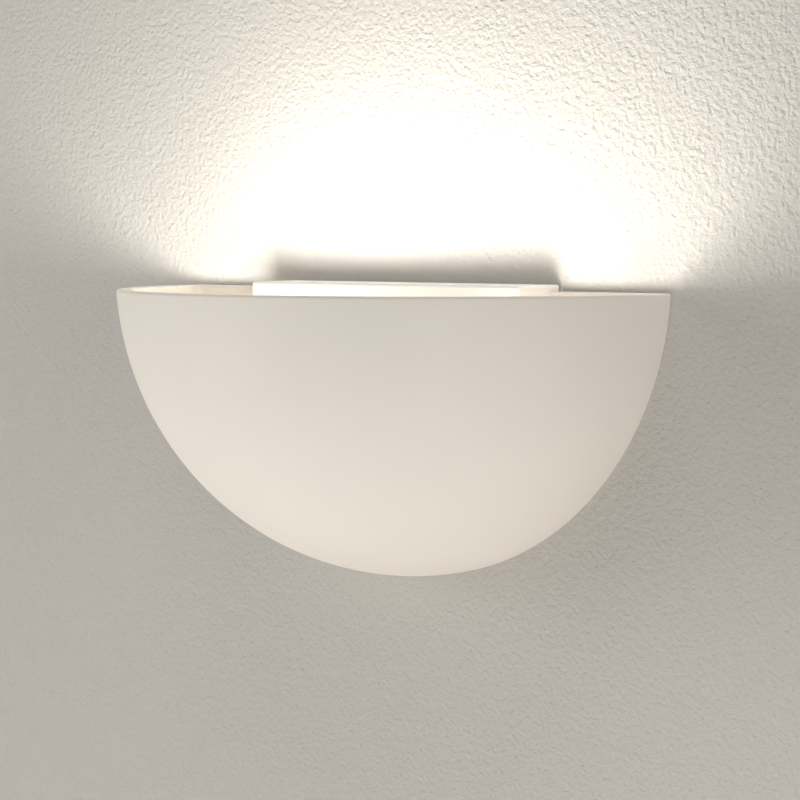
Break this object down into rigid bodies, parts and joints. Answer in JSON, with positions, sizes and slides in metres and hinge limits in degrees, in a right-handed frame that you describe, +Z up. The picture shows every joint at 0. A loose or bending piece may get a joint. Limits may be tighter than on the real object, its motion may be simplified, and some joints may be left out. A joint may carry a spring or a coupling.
{
  "type": "uplighter wall sconce",
  "caption": "Plaster half-bowl wall uplighter, open at the top, hung over a white steel gear box with a horizontal screw-in lamp.",
  "frame": {"origin": "on the wall face of the back plate, midway between the two fixing slots, 36 mm below the rim", "axes": "+Z up, the wall is the plane y = 0, the room is at -Y, +X to the right seen from the room"},
  "size_m": [0.2998, 0.1499, 0.1489],
  "materials": {
    "plaster": "smooth matt off-white plaster",
    "white_metal": "satin white powder coat",
    "zinc_plate": "zinc-plated sheet steel",
    "screws": "zinc-plated steel",
    "thumb_brass": "nickel-plated brass, knurled",
    "contact_brass": "plain brass",
    "nylon": "natural polyamide",
    "rubber": "matt black rubber",
    "holder_plastic": "white thermoset",
    "porcelain": "white porcelain",
    "cap_metal": "nickel-plated cap",
    "black_glass": "black cap glass",
    "lamp_glass": "opal glass",
    "stem_glass": "clear glass",
    "filament": "yellow phosphor rods",
    "lead_brown": "brown insulation",
    "lead_blue": "blue insulation",
    "lead_green": "green and yellow insulation"
  },
  "bodies": {
    "bracket": {"back_plate": "zinc_plate", "bracket_nuts": "screws", "bracket_screws": "screws", "cable_grommet": "rubber", "cover_screws": "screws", "earth_nut": "screws", "earth_stud": "screws", "earth_tag": "contact_brass", "earth_washer": "screws", "gear_box": "white_metal", "holder_cap": "holder_plastic", "holder_centre_contact": "contact_brass", "holder_core": "porcelain", "holder_locknut": "screws", "holder_nipple": "screws", "holder_shell": "contact_brass", "holder_skirt": "holder_plastic", "holder_terminal_screws": "screws", "lamp_bracket": "white_metal", "lead_earth": "lead_green", "lead_grommet": "rubber", "lead_live": "lead_brown", "lead_neutral": "lead_blue", "press_nuts": "screws", "terminal_body": "nylon", "terminal_clamps": "contact_brass", "terminal_fixing_screw": "screws", "terminal_screws": "screws"},
    "shade": {"shade": "plaster", "thumb_washers": "nylon"},
    "bulb": {"bulb_cap": "cap_metal", "bulb_contact": "cap_metal", "bulb_filaments": "filament", "bulb_glass": "lamp_glass", "bulb_insulator": "black_glass", "bulb_stem": "stem_glass", "bulb_supports": "screws"},
    "thumb_left": {"thumb_screw_left": "thumb_brass"},
    "thumb_right": {"thumb_screw_right": "thumb_brass"}
  },
  "joints": [
    {"name": "shade_off", "type": "slide", "parent": "bracket", "child": "shade", "axis": [0, -1, 0], "range_m": [0, 0.12]},
    {"name": "bulb_turn", "type": "hinge", "parent": "bracket", "child": "bulb", "pos_m": [0.034, -0.074, -0.005], "axis": [-1, 0, 0], "continuous": true},
    {"name": "thumb_left_turn", "type": "hinge", "parent": "shade", "child": "thumb_left", "pos_m": [-0.0925, -0.0113, -0.005], "axis": [0, -1, 0], "continuous": true},
    {"name": "thumb_right_turn", "type": "hinge", "parent": "shade", "child": "thumb_right", "pos_m": [0.1025, -0.0113, -0.005], "axis": [0, -1, 0], "continuous": true}
  ]
}
